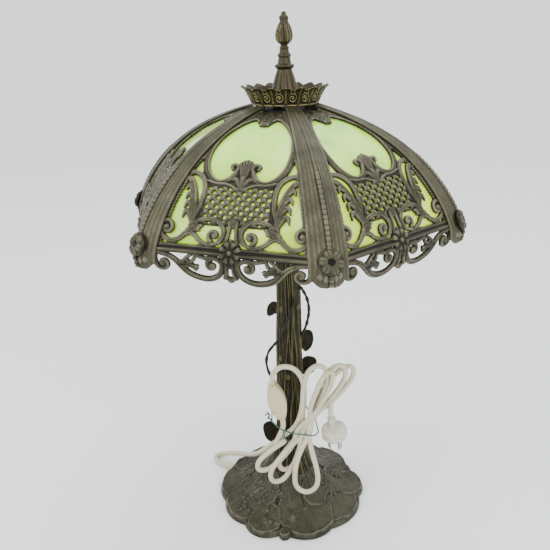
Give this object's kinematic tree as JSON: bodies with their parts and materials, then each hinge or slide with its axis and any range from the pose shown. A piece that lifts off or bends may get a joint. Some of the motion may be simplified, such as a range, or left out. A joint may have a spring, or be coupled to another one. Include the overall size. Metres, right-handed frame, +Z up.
{
  "type": "table lamp",
  "caption": "Table lamp with a domed six-sided slag glass shade in cast filigree, on a tree-trunk stem and a lily-pad base, its cord tied in a hank.",
  "frame": {"origin": "on the surface the lamp stands on, under the centre of its base and stem", "axes": "+Z up along the stem, -Y towards the middle of one side of the shade, +X to the right along that side"},
  "size_m": [0.401, 0.3554, 0.62],
  "materials": {
    "shade_metal": "cast metal with a warm grey-brown bronze patina",
    "shade_glass": "streaked pale green slag glass, satin",
    "crown_metal": "dark brown antiqued brass with rubbed gold highlights",
    "stem_metal": "near-black brown patina with rubbed gold ridges",
    "base_metal": "dark olive-brown patina, satin",
    "brass": "lacquered brass, satin",
    "steel": "zinc-plated steel",
    "felt": "green felt",
    "cord_plastic": "cream-white flexible plastic sheath",
    "switch_plastic": "cream moulded plastic, aged",
    "plug_plastic": "translucent cream moulded plastic",
    "holder_plastic": "white moulded plastic",
    "bulb_glass": "frosted glass",
    "tie_plastic": "green plastic-coated wire"
  },
  "bodies": {
    "root": {"base_casting": "base_metal", "base_felt": "felt", "base_washer": "steel", "cord_bush": "cord_plastic", "cord_hank": "cord_plastic", "cord_tail": "cord_plastic", "inner_lead": "cord_plastic", "lamp_arm_left": "brass", "lamp_arm_right": "brass", "lamp_cluster": "brass", "lamp_pipe": "steel", "lampholder_left": "holder_plastic", "lampholder_right": "holder_plastic", "leaf_stalks": "stem_metal", "plug_body": "plug_plastic", "plug_lead": "cord_plastic", "plug_pins": "steel", "riser_rod": "steel", "shade_seat": "brass", "stem_cap": "brass", "switch_back": "switch_plastic", "switch_front": "switch_plastic", "switch_lead_lower": "cord_plastic", "switch_lead_upper": "cord_plastic", "tie_wire": "tie_plastic", "trunk_stem": "stem_metal", "vine_leaves": "stem_metal", "vine_left": "stem_metal", "vine_right": "stem_metal"},
    "shade": {"crown": "crown_metal", "glass_1": "shade_glass", "glass_2": "shade_glass", "glass_3": "shade_glass", "glass_4": "shade_glass", "glass_5": "shade_glass", "glass_6": "shade_glass", "glass_clips": "steel", "panel_1": "shade_metal", "panel_2": "shade_metal", "panel_3": "shade_metal", "panel_4": "shade_metal", "panel_5": "shade_metal", "panel_6": "shade_metal", "rib_1": "shade_metal", "rib_2": "shade_metal", "rib_3": "shade_metal", "rib_4": "shade_metal", "rib_5": "shade_metal", "rib_6": "shade_metal", "rib_screws": "stem_metal", "shade_top_ring": "crown_metal"},
    "finial_washer": {"finial_washer": "brass"},
    "finial": {"finial": "crown_metal"},
    "switch_rocker": {"switch_rocker": "switch_plastic"},
    "bulb_left": {"bulb_cap_left": "brass", "bulb_glass_left": "bulb_glass"},
    "bulb_right": {"bulb_cap_right": "brass", "bulb_glass_right": "bulb_glass"}
  },
  "joints": [
    {"name": "shade_turn", "type": "hinge", "parent": "root", "child": "shade", "pos_m": [0, 0, 0.5205], "axis": [0, 0, 1], "continuous": true},
    {"name": "finial_rise", "type": "slide", "parent": "root", "child": "finial_washer", "axis": [0, 0, 1], "range_m": [0, 0.008]},
    {"name": "finial_turn", "type": "hinge", "parent": "finial_washer", "child": "finial", "pos_m": [0, 0, 0.5276], "axis": [0, 0, 1], "range_deg": [0, 2881]},
    {"name": "switch_rocker_tilt", "type": "hinge", "parent": "root", "child": "switch_rocker", "pos_m": [-0.00548, -0.03529, 0.166], "axis": [-0.9149, -0.3258, -0.2385], "range_deg": [0, 12]},
    {"name": "bulb_left_turn", "type": "hinge", "parent": "root", "child": "bulb_left", "pos_m": [-0.052, 0, 0.41], "axis": [0, 0, 1], "range_deg": [0, 20]},
    {"name": "bulb_right_turn", "type": "hinge", "parent": "root", "child": "bulb_right", "pos_m": [0.052, 0, 0.41], "axis": [0, 0, 1], "range_deg": [0, 20]}
  ],
  "couplings": [
    {"joint": "finial_turn", "follows": "finial_rise", "rad_per_m": 6283.2}
  ]
}
